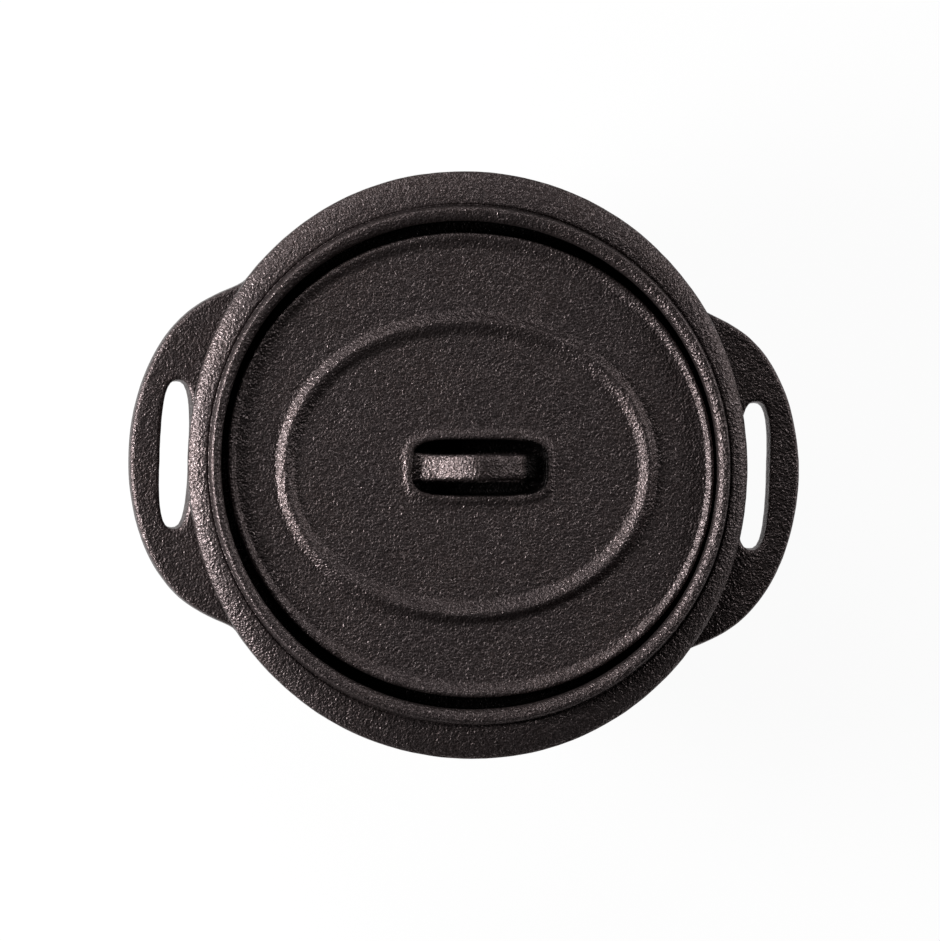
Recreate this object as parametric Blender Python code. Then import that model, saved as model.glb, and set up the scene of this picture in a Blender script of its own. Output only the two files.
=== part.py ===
"""Cast iron casserole: an oval pot with two slotted lugs, and a loose lid set into its rim.

Units are metres and +Z is up. The origin is on the table, under the middle of the pot,
and X runs through the two lugs. A "half" is a pair of half widths, along X and along Y.
"""

import math
from collections import namedtuple

import bmesh
import bpy
from mathutils import Matrix, Vector

# The rings of the pot and of the lid are ovals, a little squarer than ellipses, and leant over
# a little: the skew turns each point's width back, so the long way points front right
OVAL_SQUARENESS = 2.04
POT_SKEW = math.radians(0.9)
LID_SKEW = math.radians(1.5)

# Pot: the raised ring, the sloping shoulder outside it and the seat inside it
POT_HEIGHT = 0.0620
MOUTH_HALF_LENGTH = 0.0755
MOUTH_HALF_WIDTH = 0.0731
MOUTH_HALF = Vector((MOUTH_HALF_LENGTH, MOUTH_HALF_WIDTH))
RING_WALL = Vector((0.0036, 0.0046))
RING_STEP = 0.0026
RING_CREST = 0.72
RING_INNER_ROUND = 0.0022
SHOULDER_WIDTH = Vector((0.0058, 0.0102))
SHOULDER_DROP = 0.0026
SHOULDER_EDGE = 0.0030
SHOULDER_EDGE_ROUND = 0.0012
SHOULDER_CROWN = 0.60
SEAT_DEPTH = 0.0093
SEAT_WIDTH = 0.0060
SEAT_EDGE_ROUND = 0.0006

# Pot: walls, floor and foot. The side draws in from the neck to the foot on one curve,
# whose squareness sets how tight the bottom corner is, and whose roundness sets its draft
NECK_HEIGHT = 0.0098
NECK_HOLLOW = 0.80
NECK_WALL = 0.0050
FLOOR_WALL = 0.0050
SIDE_DRAW = 0.0225
SIDE_SQUARENESS = 3.2
SIDE_ROUNDNESS = 0.88
FOOT_WALL = 0.0035
FOOT_WIDTH = 0.0075
FOOT_RECESS = 0.0010
FOOT_SLOPE = 0.0008

# Lugs: two flat ears with a finger slot each, set lower than the shoulder. Beside its ear a lug
# runs on as a strip under the shoulder's edge, which fades into the neck
LUG_REACH = 0.0168
LUG_LENGTH = 0.0324
LUG_HALF_SPREAD = 0.0490
LEFT_LUG_TURN = math.radians(-0.7)
RIGHT_LUG_TURN = math.radians(-2.0)
LUG_THICKNESS = 0.0055
LUG_DROP = 0.0049
LUG_TOP_ROUND = 0.0013
LUG_BOTTOM_ROUND = 0.0010
LUG_BLEND = 0.0084
LUG_TUCK = 0.0008
LUG_ROOT = 0.0025
LUG_STRIP_ANGLE = math.radians(44.0)
LUG_HALF_ANGLE = math.radians(62.0)
BAR_WIDTH = 0.0094
SLOT_WIDTH = 0.0088
SLOT_HALF_LENGTH = 0.0218
SLOT_TURN = math.radians(-0.4)
SLOT_SQUARENESS = 3.0
SLOT_DRAFT = 0.0004

# Lid: plate, turned-up edge and oval bead
LID_PLAY = Vector((0.0017, 0.0035))
LID_DRIFT = 0.50
LID_TURN = math.radians(1.7)
LID_REST_GAP = 0.0003
LID_PLATE = 0.0035
LID_BOTTOM_ROUND = 0.0010
LIP_HEIGHT = 0.0013
LIP_WIDTH = Vector((0.0026, 0.0048))
LIP_ROUND = 0.0008
BEAD_HALF = Vector((0.0554, 0.0440))
BEAD_SHIFT = Vector((-0.0013, -0.0009))
BEAD_HEIGHT = 0.0017
BEAD_OUTER_FLANK = Vector((0.0030, 0.0031))
BEAD_INNER_FLANK = Vector((0.0038, 0.0048))

# Lid: grip, a strap across a sunken pocket
GRIP_SHIFT = Vector((0.0023, -0.0007))
POCKET_HALF_LENGTH = 0.0203
POCKET_DEPTH = 0.0075
POCKET_SQUARENESS = 4.0
POCKET_FLOOR_ROUND = 0.0022
POCKET_DRAFT = 0.0003
POCKET_EDGE_ROUND = 0.0007
POCKET_WALL = 0.0032
BOSS_ROUND = 0.0025
MOUND_HEIGHT = 0.0007
MOUND_WIDTH = 0.0034
MOUND_CREST = 0.0012
STRAP_WIDTH = 0.0078
STRAP_SIDE_GAP = 0.0046
STRAP_THICKNESS = 0.0036
STRAP_CREST = 0.0074
STRAP_ROOT = -0.0012
STRAP_FLARE = 0.0036
STRAP_FLARE_POWER = 8
STRAP_SQUARENESS = 4.0
STRAP_BED = 0.0020

# Fineness of the faceted surfaces
RING_STEPS = 78
SIDE_STEPS = 11
FLANK_STEPS = 4
EDGE_STEPS = 2
POCKET_STEPS = 48
SLOT_STEPS = 40
LUG_ARC_STEPS = 45
LUG_ROOT_STEPS = 10
STRAP_STEPS = 18
STRAP_SECTION_STEPS = 20
CUT_CLEARANCE = 0.0020

# Finish: seasoned raw cast iron
IRON_COLOUR = (0.030, 0.027, 0.027, 1.0)
IRON_METALLIC = 0.35
POT_ROUGHNESS = 0.62
LID_ROUGHNESS = 0.60

Level = namedtuple("Level", "half height centre")


def level(half, height, centre=(0.0, 0.0)):
    """One level outline's half widths, height and centre."""
    return Level(Vector(half), height, Vector(centre))


def both(amount):
    """The same length along X and along Y."""
    return Vector((amount, amount))


def mix(start, end, share):
    return start + (end - start) * share


def rounded(start, end, steps, flat_first, roundness=1.0, squareness=2.0):
    """Levels after start, up to end, along a quarter curve.

    flat_first leaves start level and reaches end upright. A roundness of 0 is a straight slope,
    and a squareness above 2 draws the curve into its corner.
    """
    levels = []
    for step in range(1, steps + 1):
        share = step / steps
        turn = share * math.pi / 2.0
        sine = math.sin(turn) ** (2.0 / squareness)
        cosine = max(math.cos(turn), 0.0) ** (2.0 / squareness)
        if flat_first:
            across, climb = sine, 1.0 - cosine
        else:
            across, climb = 1.0 - cosine, sine
        across = mix(share, across, roundness)
        climb = mix(share, climb, roundness)
        levels.append(level(
            start.half.lerp(end.half, across),
            mix(start.height, end.height, climb),
            start.centre.lerp(end.centre, across),
        ))
    return levels


def swelling(start, end, steps):
    """Levels after start, up to end, that leave and arrive level, as the flank of a bead does."""
    levels = []
    for step in range(1, steps + 1):
        share = step / steps
        climb = (1.0 - math.cos(math.pi * share)) / 2.0
        levels.append(level(
            start.half.lerp(end.half, share),
            mix(start.height, end.height, climb),
            start.centre.lerp(end.centre, share),
        ))
    return levels


def power_wave(value, squareness):
    """A cosine or sine, raised so that an ellipse turns into a rounded oblong."""
    return math.copysign(abs(value) ** (2.0 / squareness), value)


def outline(at_level, steps, squareness=OVAL_SQUARENESS, skew=0.0):
    """Points round one level: an ellipse at squareness 2, and a rounded oblong well above it."""
    points = []
    for step in range(steps):
        turn = 2.0 * math.pi * step / steps
        across = power_wave(math.cos(turn), squareness)
        along = power_wave(math.sin(turn), squareness) * math.cos(skew) - across * math.sin(skew)
        points.append(Vector((
            at_level.centre.x + at_level.half.x * across,
            at_level.centre.y + at_level.half.y * along,
            at_level.height,
        )))
    return points


def turned(point, angle):
    """A point turned round Z, keeping its height."""
    return Matrix.Rotation(angle, 3, "Z") @ point


def loft(name, outlines, collection):
    """A closed solid through outlines of equal point counts, flat at both ends."""
    shape = bmesh.new()
    rings = [[shape.verts.new(point) for point in points] for points in outlines]
    for ring, following in zip(rings, rings[1:]):
        for index in range(len(ring)):
            after = (index + 1) % len(ring)
            shape.faces.new((ring[index], ring[after], following[after], following[index]))
    shape.faces.new(rings[0])
    shape.faces.new(rings[-1])
    bmesh.ops.recalc_face_normals(shape, faces=shape.faces)
    mesh = bpy.data.meshes.new(name)
    shape.to_mesh(mesh)
    shape.free()
    thing = bpy.data.objects.new(name, mesh)
    collection.objects.link(thing)
    return thing


def combine(target, tool, operation):
    """Join tool to target, or cut it out of target, and keep tool as a wire guide."""
    tool.hide_render = True
    tool.display_type = "WIRE"
    change = target.modifiers.new(f"{operation.title()} {tool.name}", "BOOLEAN")
    change.operation = operation
    change.solver = "EXACT"
    change.object = tool


def iron(name, roughness):
    material = bpy.data.materials.new(name)
    material.use_nodes = True
    shader = material.node_tree.nodes["Principled BSDF"]
    shader.inputs["Base Color"].default_value = IRON_COLOUR
    shader.inputs["Metallic"].default_value = IRON_METALLIC
    shader.inputs["Roughness"].default_value = roughness
    material.diffuse_color = IRON_COLOUR
    return material


# Places that the pot, the lugs and the lid share
RING_HALF = MOUTH_HALF + RING_WALL
SHOULDER_HALF = RING_HALF + SHOULDER_WIDTH
CREASE_HEIGHT = POT_HEIGHT - RING_STEP
WIDEST_HEIGHT = CREASE_HEIGHT - SHOULDER_DROP
SEAT_HEIGHT = POT_HEIGHT - SEAT_DEPTH
SHOULDER_UNDERSIDE = WIDEST_HEIGHT - SHOULDER_EDGE
INNER_TOP_HALF = MOUTH_HALF - both(SEAT_WIDTH)
NECK_HALF = INNER_TOP_HALF + both(NECK_WALL)
FOOT_HALF = NECK_HALF - both(SIDE_DRAW)
NECK_TOP = SHOULDER_UNDERSIDE - NECK_HEIGHT
UNDERSIDE_HALF = SHOULDER_HALF - both(SHOULDER_EDGE_ROUND)
LUG_TOP = WIDEST_HEIGHT - LUG_DROP
LUG_TIP = SHOULDER_HALF.x + LUG_REACH


def side_curve(start, end, flat_first):
    """Levels after start, up to end, down or up the pot's side and round its bottom corner."""
    return rounded(start, end, SIDE_STEPS, flat_first, SIDE_ROUNDNESS, SIDE_SQUARENESS)


def neck_half(height):
    """The pot's half on the hollow curve from the neck out to the shoulder's underside."""
    climb = (height - NECK_TOP) / NECK_HEIGHT
    hollow = 1.0 - math.sqrt(max(1.0 - climb * climb, 0.0))
    return NECK_HALF.lerp(UNDERSIDE_HALF, mix(climb, hollow, NECK_HOLLOW))


def pot_outer_levels():
    """Foot, side, neck and the underside and edge of the shoulder, from the table up."""
    foot = level(FOOT_HALF, 0.0)
    foot_inner = level(FOOT_HALF - both(FOOT_WIDTH), 0.0)
    recess = level(foot_inner.half - both(FOOT_SLOPE), FOOT_RECESS)
    neck = level(NECK_HALF, NECK_TOP)
    underside = level(UNDERSIDE_HALF, SHOULDER_UNDERSIDE)
    edge_low = level(SHOULDER_HALF, SHOULDER_UNDERSIDE + SHOULDER_EDGE_ROUND)
    levels = [recess, foot_inner, foot]
    levels += side_curve(foot, neck, flat_first=True)
    for step in range(1, FLANK_STEPS + 1):
        height = NECK_TOP + NECK_HEIGHT * math.sin(step / FLANK_STEPS * math.pi / 2.0)
        levels.append(level(neck_half(height), height))
    levels += rounded(underside, edge_low, EDGE_STEPS, flat_first=True)
    levels.append(level(SHOULDER_HALF, WIDEST_HEIGHT))
    return levels


def pot_rim_levels():
    """The shoulder's slope up to the crease, and the round-topped ring down to its inner side."""
    widest = level(SHOULDER_HALF, WIDEST_HEIGHT)
    crease = level(RING_HALF, CREASE_HEIGHT)
    crest = level(MOUTH_HALF.lerp(RING_HALF, RING_CREST), POT_HEIGHT)
    mouth = level(MOUTH_HALF, POT_HEIGHT - RING_INNER_ROUND)
    levels = rounded(widest, crease, FLANK_STEPS + 1, flat_first=False, roundness=SHOULDER_CROWN)
    levels += rounded(crease, crest, FLANK_STEPS, flat_first=False)
    levels += rounded(crest, mouth, FLANK_STEPS, flat_first=True)
    return levels


def pot_inner_levels():
    """The lid's seat, and the cavity's side and floor, from the seat down."""
    seat_edge = level(INNER_TOP_HALF + both(SEAT_EDGE_ROUND), SEAT_HEIGHT)
    wall_top = level(INNER_TOP_HALF, SEAT_HEIGHT - SEAT_EDGE_ROUND)
    floor = level(FOOT_HALF - both(FOOT_WALL), FLOOR_WALL)
    levels = [level(MOUTH_HALF, SEAT_HEIGHT), seat_edge]
    levels += rounded(seat_edge, wall_top, EDGE_STEPS, flat_first=True)
    levels += side_curve(wall_top, floor, flat_first=False)
    return levels


def oval_reach(half, turn):
    """Distance from the centre of one of the pot's ovals to its edge, in the direction turn."""
    across = math.cos(turn) / half.x
    along = (math.sin(turn) / half.y + across * math.sin(POT_SKEW)) / math.cos(POT_SKEW)
    return (abs(across) ** OVAL_SQUARENESS + abs(along) ** OVAL_SQUARENESS) ** (-1.0 / OVAL_SQUARENESS)


def offset_ellipse_reach(centre_x, half, turn):
    """Far distance from the origin to an ellipse centred on X, or 0 where the ray misses it."""
    ray = Vector((math.cos(turn) / half.x, math.sin(turn) / half.y))
    start = Vector((centre_x / half.x, 0.0))
    along = ray.dot(start)
    spare = along * along - ray.length_squared * (start.length_squared - 1.0)
    if spare < 0.0:
        return 0.0
    return (along + math.sqrt(spare)) / ray.length_squared


def blended_reach(first, second, blend):
    """The larger of two reaches, with a fillet of about blend where they cross."""
    share = min(max(0.5 + 0.5 * (first - second) / blend, 0.0), 1.0)
    return mix(second, first, share) + blend * share * (1.0 - share)


def lug_outline(side, lug_turn, height, inset):
    """One level of a lug: its ear, the strip under the shoulder beside it, and its root in the wall.

    The left lug is drawn as a right one turned half round.
    """
    centre_x = LUG_TIP - LUG_LENGTH
    half = Vector((LUG_LENGTH - inset, LUG_HALF_SPREAD - inset))
    root_half = INNER_TOP_HALF + both(LUG_ROOT)
    points = []
    for step in range(LUG_ARC_STEPS + 1):
        turn = mix(-LUG_HALF_ANGLE, LUG_HALF_ANGLE, step / LUG_ARC_STEPS)
        ear = offset_ellipse_reach(centre_x, half, turn - lug_turn)
        fade = min(max((LUG_HALF_ANGLE - abs(turn)) / (LUG_HALF_ANGLE - LUG_STRIP_ANGLE), 0.0), 1.0)
        fade = fade * fade * (3.0 - 2.0 * fade)
        strip = oval_reach(SHOULDER_HALF, turn) - LUG_TUCK - inset
        rim = mix(oval_reach(neck_half(height), turn) - LUG_TUCK, strip, fade)
        reach = side * blended_reach(ear, rim, LUG_BLEND)
        points.append(Vector((reach * math.cos(turn), reach * math.sin(turn), height)))
    for step in range(LUG_ROOT_STEPS + 1):
        turn = mix(LUG_HALF_ANGLE, -LUG_HALF_ANGLE, step / LUG_ROOT_STEPS)
        reach = side * oval_reach(root_half, turn)
        points.append(Vector((reach * math.cos(turn), reach * math.sin(turn), height)))
    return points


def build_slot_cutter(name, side, collection):
    """The finger slot: a long rounded hole, a little wider at the top, with a softened top edge."""
    middle = (side * (LUG_TIP - BAR_WIDTH - SLOT_WIDTH / 2.0), 0.0)
    half = Vector((SLOT_WIDTH / 2.0, SLOT_HALF_LENGTH))
    low = level(half, LUG_TOP - LUG_THICKNESS - CUT_CLEARANCE, middle)
    high = level(half + both(SLOT_DRAFT), LUG_TOP - LUG_TOP_ROUND, middle)
    brim = level(high.half + both(LUG_TOP_ROUND), LUG_TOP, middle)
    over = level(brim.half + both(CUT_CLEARANCE), LUG_TOP + CUT_CLEARANCE, middle)
    levels = [low, high] + rounded(high, brim, EDGE_STEPS + 1, flat_first=False) + [over]
    outlines = []
    for each in levels:
        points = outline(each, SLOT_STEPS, SLOT_SQUARENESS)
        outlines.append([turned(point, SLOT_TURN) for point in points])
    return loft(name, outlines, collection)


def build_lug(name, side, lug_turn, collection):
    """One cast ear, side +1 or -1, turned a little round the pot, with its finger slot cut through."""
    bottom = LUG_TOP - LUG_THICKNESS
    levels = [(bottom, LUG_BOTTOM_ROUND), (bottom + LUG_BOTTOM_ROUND, 0.0)]
    for step in range(EDGE_STEPS + 1):
        turn = step / EDGE_STEPS * math.pi / 2.0
        height = LUG_TOP - LUG_TOP_ROUND * (1.0 - math.sin(turn))
        levels.append((height, LUG_TOP_ROUND * (1.0 - math.cos(turn))))
    outlines = [lug_outline(side, lug_turn, height, inset) for height, inset in levels]
    lug = loft(name, outlines, collection)
    combine(lug, build_slot_cutter(name + "_slot", side, collection), "DIFFERENCE")
    return lug


def build_pot(parts, tools):
    """The pot in one casting: bowl, seat, ring, shoulder and both lugs."""
    levels = pot_outer_levels() + pot_rim_levels() + pot_inner_levels()
    pot = loft("casserole_pot", [outline(each, RING_STEPS, skew=POT_SKEW) for each in levels], parts)
    combine(pot, build_lug("left_lug", -1.0, LEFT_LUG_TURN, tools), "UNION")
    combine(pot, build_lug("right_lug", 1.0, RIGHT_LUG_TURN, tools), "UNION")
    pot.data.materials.append(iron("Pot iron", POT_ROUGHNESS))
    return pot


def lid_edge_levels():
    """The lid's edge, from its underside, up the turned-up edge and down to the plate."""
    half = MOUTH_HALF - LID_PLAY
    underside = level(half - both(LID_BOTTOM_ROUND), -LID_PLATE)
    edge_low = level(half, LID_BOTTOM_ROUND - LID_PLATE)
    edge_high = level(half, LIP_HEIGHT - LIP_ROUND)
    lip = level(half - both(LIP_ROUND), LIP_HEIGHT)
    lip_foot = level(half - LIP_WIDTH, 0.0)
    levels = [underside] + rounded(underside, edge_low, EDGE_STEPS, flat_first=True) + [edge_high]
    levels += rounded(edge_high, lip, EDGE_STEPS, flat_first=False)
    levels += swelling(lip, lip_foot, FLANK_STEPS)
    return levels


def lid_bead_levels():
    """The oval bead on the lid's plate, from its outer foot, over its crest, to its inner foot."""
    bead_outer = level(BEAD_HALF + BEAD_OUTER_FLANK, 0.0, BEAD_SHIFT)
    bead_crest = level(BEAD_HALF, BEAD_HEIGHT, BEAD_SHIFT)
    bead_inner = level(BEAD_HALF - BEAD_INNER_FLANK, 0.0, BEAD_SHIFT)
    levels = [bead_outer]
    levels += swelling(bead_outer, bead_crest, FLANK_STEPS)
    levels += swelling(bead_crest, bead_inner, FLANK_STEPS + 1)
    return levels


def pocket_half():
    return Vector((POCKET_HALF_LENGTH, STRAP_WIDTH / 2.0 + STRAP_SIDE_GAP))


def build_boss(collection):
    """The cup that hangs under the plate round the pocket, and the low mound on top of it."""
    half = pocket_half()
    bottom = -(POCKET_DEPTH + POCKET_WALL)
    wall = both(POCKET_WALL)
    base = level(half + wall - both(BOSS_ROUND), bottom, GRIP_SHIFT)
    side = level(half + wall, bottom + BOSS_ROUND, GRIP_SHIFT)
    levels = [base] + rounded(base, side, EDGE_STEPS + 1, flat_first=True)
    levels.append(level(half + wall, -LID_PLATE / 2.0, GRIP_SHIFT))
    mound_foot = level(half + both(MOUND_WIDTH), -LID_PLATE / 4.0, GRIP_SHIFT)
    mound_crest = level(half + both(MOUND_CREST), MOUND_HEIGHT, GRIP_SHIFT)
    levels.append(mound_foot)
    levels += rounded(mound_foot, mound_crest, FLANK_STEPS, flat_first=False)
    outlines = [outline(each, POCKET_STEPS, POCKET_SQUARENESS) for each in levels]
    return loft("pocket_boss", outlines, collection)


def build_pocket_cutter(collection):
    """The sunken pocket, from its rounded floor to its softened edge."""
    half = pocket_half()
    floor = level(half - both(POCKET_FLOOR_ROUND), -POCKET_DEPTH, GRIP_SHIFT)
    low = level(half - both(POCKET_DRAFT), POCKET_FLOOR_ROUND - POCKET_DEPTH, GRIP_SHIFT)
    high = level(half, MOUND_HEIGHT - POCKET_EDGE_ROUND, GRIP_SHIFT)
    brim = level(half + both(POCKET_EDGE_ROUND), MOUND_HEIGHT, GRIP_SHIFT)
    over = level(brim.half + both(CUT_CLEARANCE), MOUND_HEIGHT + CUT_CLEARANCE, GRIP_SHIFT)
    levels = [floor] + rounded(floor, low, EDGE_STEPS + 1, flat_first=True) + [high]
    levels += rounded(high, brim, EDGE_STEPS, flat_first=False) + [over]
    outlines = [outline(each, POCKET_STEPS, POCKET_SQUARENESS) for each in levels]
    return loft("pocket_cut", outlines, collection)


def strap_section(along):
    """The strap's outline at a distance along it: arched, and flared at its two roots."""
    share = min(abs(along) / POCKET_HALF_LENGTH, 1.0)
    rise = STRAP_CREST - STRAP_ROOT
    top = STRAP_ROOT + rise * (1.0 + math.cos(math.pi * share)) / 2.0
    slope = rise * math.pi / (2.0 * POCKET_HALF_LENGTH) * math.sin(math.pi * share)
    upright = STRAP_THICKNESS * math.hypot(1.0, slope)
    width = STRAP_WIDTH + STRAP_FLARE * share ** STRAP_FLARE_POWER
    points = []
    for step in range(STRAP_SECTION_STEPS):
        turn = 2.0 * math.pi * step / STRAP_SECTION_STEPS
        points.append(Vector((
            GRIP_SHIFT.x + along,
            GRIP_SHIFT.y + width / 2.0 * power_wave(math.cos(turn), STRAP_SQUARENESS),
            top - upright / 2.0 + upright / 2.0 * power_wave(math.sin(turn), STRAP_SQUARENESS),
        )))
    return points


def build_strap(collection):
    """The arched strap that spans the pocket, bedded in the pocket's end walls."""
    reach = POCKET_HALF_LENGTH + STRAP_BED
    places = [-reach]
    for step in range(STRAP_STEPS + 1):
        places.append(mix(-POCKET_HALF_LENGTH, POCKET_HALF_LENGTH, step / STRAP_STEPS))
    places.append(reach)
    return loft("strap", [strap_section(along) for along in places], collection)


def build_lid(parts, tools):
    """The lid in one casting, placed as it lies in its seat: a little off centre and turned."""
    outlines = [outline(each, RING_STEPS, skew=LID_SKEW) for each in lid_edge_levels()]
    outlines += [outline(each, RING_STEPS) for each in lid_bead_levels()]
    lid = loft("lid", outlines, parts)
    boss = build_boss(tools)
    pocket = build_pocket_cutter(tools)
    strap = build_strap(tools)
    combine(lid, boss, "UNION")
    combine(lid, pocket, "DIFFERENCE")
    combine(lid, strap, "UNION")
    for tool in (boss, pocket, strap):
        tool.parent = lid
    lid.location = (LID_DRIFT * LID_PLAY.x, 0.0, SEAT_HEIGHT + LID_REST_GAP + LID_PLATE)
    lid.rotation_euler = (0.0, 0.0, LID_TURN)
    lid.data.materials.append(iron("Lid iron", LID_ROUGHNESS))
    return lid


def new_collection(name):
    collection = bpy.data.collections.new(name)
    bpy.context.scene.collection.children.link(collection)
    return collection


for leftover in list(bpy.data.objects):
    bpy.data.objects.remove(leftover, do_unlink=True)

casserole_parts = new_collection("Cast iron casserole")
casserole_tools = new_collection("Joined and cut shapes")
build_pot(casserole_parts, casserole_tools)
build_lid(casserole_parts, casserole_tools)
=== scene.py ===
"""A small oval cast iron casserole with its lid on, on a white table, seen from almost straight above.

Lengths are metres, +Z is up, and the origin is on the table under the middle of the pot. X runs
through the pot's two lugs. A "half" is a pair of half widths, along X and along Y.
"""

import math

import bmesh
import bpy
from mathutils import Matrix, Vector


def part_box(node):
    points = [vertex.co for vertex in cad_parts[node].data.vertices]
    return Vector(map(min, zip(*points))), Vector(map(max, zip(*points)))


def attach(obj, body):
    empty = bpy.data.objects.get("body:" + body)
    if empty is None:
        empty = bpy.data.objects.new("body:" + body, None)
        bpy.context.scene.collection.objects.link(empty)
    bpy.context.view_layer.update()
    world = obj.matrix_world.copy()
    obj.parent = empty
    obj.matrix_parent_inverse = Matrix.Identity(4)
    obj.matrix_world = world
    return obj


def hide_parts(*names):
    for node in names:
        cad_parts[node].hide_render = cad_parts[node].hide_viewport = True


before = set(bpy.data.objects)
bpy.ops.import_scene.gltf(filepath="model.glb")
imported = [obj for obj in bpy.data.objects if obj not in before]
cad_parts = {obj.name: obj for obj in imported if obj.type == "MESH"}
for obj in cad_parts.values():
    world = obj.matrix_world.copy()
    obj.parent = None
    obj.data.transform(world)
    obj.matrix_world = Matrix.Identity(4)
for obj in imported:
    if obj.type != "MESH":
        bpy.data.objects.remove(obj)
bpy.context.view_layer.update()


# The pot is one sand casting of grey iron: bowl, lid seat, rim ring, sloping shoulder and two lugs.
# Its oval rings are drawn as one profile, from under the foot, over the rim, to the inner floor,
# and the profile is swept round. The lugs swell out of the same skin, so they meet it in a fillet.
def both(amount):
    """The same length along X and along Y."""
    return Vector((amount, amount))


pot_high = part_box("casserole_pot")[1]
OVAL_SQUARENESS = 2.04
POT_SKEW = math.radians(0.9)
POT_HEIGHT = pot_high.z
MOUTH_HALF = Vector((0.0755, 0.0731))
RING_WALL = Vector((0.0036, 0.0046))
RING_HALF = MOUTH_HALF + RING_WALL
RING_STEP = 0.0026
RING_CREST = 0.72
RING_INNER_ROUND = 0.0022
CREASE_WIDTH = 0.0008
CREASE_DEPTH = 0.00045
CREASE_LOW_AT = 0.4
SHOULDER_WIDTH = 0.0058
SHOULDER_HALF = Vector((RING_HALF.x + SHOULDER_WIDTH, pot_high.y))
SHOULDER_DROP = 0.0026
SHOULDER_EDGE = 0.0030
SHOULDER_EDGE_ROUND = 0.0012
SHOULDER_CROWN = 0.60
SEAT_DEPTH = 0.0093
SEAT_WIDTH = 0.0060
SEAT_CORNER = 0.0008
SEAT_EDGE_ROUND = 0.0006
INNER_HALF = MOUTH_HALF - both(SEAT_WIDTH)
NECK_WALL = 0.0050
NECK_HALF = INNER_HALF + both(NECK_WALL)
NECK_HEIGHT = 0.0098
NECK_HOLLOW = 0.80
SIDE_DRAW = 0.0225
FOOT_HALF = NECK_HALF - both(SIDE_DRAW)
FOOT_WIDTH = 0.0075
FOOT_RECESS = 0.0010
FOOT_SLOPE = 0.0008
FOOT_WALL = 0.0035
FLOOR_HALF = FOOT_HALF - both(FOOT_WALL)
FLOOR_HEIGHT = 0.0050
SIDE_ROUNDNESS = 0.88
SIDE_TIGHTNESS = 3.2
EAR_TIP = pot_high.x
EAR_LENGTH = 0.0324
EAR_SPREAD = 0.0490
LEFT_EAR_TURN = math.radians(-0.7)
RIGHT_EAR_TURN = math.radians(-2.0)
EAR_BLEND = 0.0084
EAR_TUCK = 0.0008
EAR_STRIP_SINE = 0.69
EAR_END_SINE = 0.88
EAR_DROP = 0.0049
EAR_THICKNESS = 0.0055
EAR_TOP_ROUND = 0.0013
EAR_BOTTOM_ROUND = 0.0010
EAR_TOP_FILLET = 0.0011
EAR_BOTTOM_FILLET = 0.0016
EAR_EDGE_STEPS = 4
BAR_WIDTH = 0.0094
SLOT_HALF = Vector((0.0044, 0.0218))
SLOT_TURN = math.radians(-0.4)
SLOT_SQUARENESS = 3.0
SLOT_DRAFT = 0.0004
CUT_OVER = 0.0020
KEEPER_SKIN = 0.00005
CENTRE_HALF = 0.00001
SEAM_REACH = 0.00003
INDEX_NUDGE = 0.0001
POT_STATIONS = 424
SLOT_STATIONS = 120


class Profile:
    """The rings of a casting in order. Each row holds what one ring is, and to() adds rings."""

    COLUMNS = (
        "half_x", "half_y", "height", "shift_x", "shift_y",
        "squareness", "skew", "ear", "away", "inset",
    )

    def __init__(self, height, squareness=OVAL_SQUARENESS, skew=0.0, shift=(0.0, 0.0)):
        first = [CENTRE_HALF, CENTRE_HALF, height, *shift, squareness, skew]
        self.rows = [first + [0.0] * (len(self.COLUMNS) - len(first))]

    def to(self, half, height, steps, bend="straight", roundness=1.0, tightness=2.0, **others):
        """Adds rings up to this half and height. The bend says how the path leaves and arrives:
        straight, out (leaves level, arrives upright), up (leaves upright, arrives level) or wave.
        A roundness under 1 flattens the curve, and a tightness over 2 draws it into its corner."""
        start = self.rows[-1]
        end = list(start)
        end[0:3] = half[0], half[1], height
        for name, value in others.items():
            end[self.COLUMNS.index(name)] = value
        for step in range(1, steps + 1):
            share = step / steps
            sine = math.sin(share * math.pi / 2.0) ** (2.0 / tightness)
            cosine = max(math.cos(share * math.pi / 2.0), 0.0) ** (2.0 / tightness)
            across, climb = {
                "straight": (share, share),
                "out": (sine, 1.0 - cosine),
                "up": (1.0 - cosine, sine),
                "wave": (share, (1.0 - math.cos(math.pi * share)) / 2.0),
            }[bend]
            across = share + (across - share) * roundness
            climb = share + (climb - share) * roundness
            row = [first + (last - first) * across for first, last in zip(start, end)]
            row[2] = start[2] + (end[2] - start[2]) * climb
            self.rows.append(row)

    def mesh(self, name):
        """The profile as a chain of points. Its columns after the height become attributes."""
        mesh = bpy.data.meshes.new(name)
        links = [(index, index + 1) for index in range(len(self.rows) - 1)]
        mesh.from_pydata([row[0:3] for row in self.rows], links, [])
        for column in range(3, len(self.COLUMNS)):
            attribute = mesh.attributes.new(self.COLUMNS[column], "FLOAT", "POINT")
            attribute.data.foreach_set("value", [row[column] for row in self.rows])
        return mesh


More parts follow.
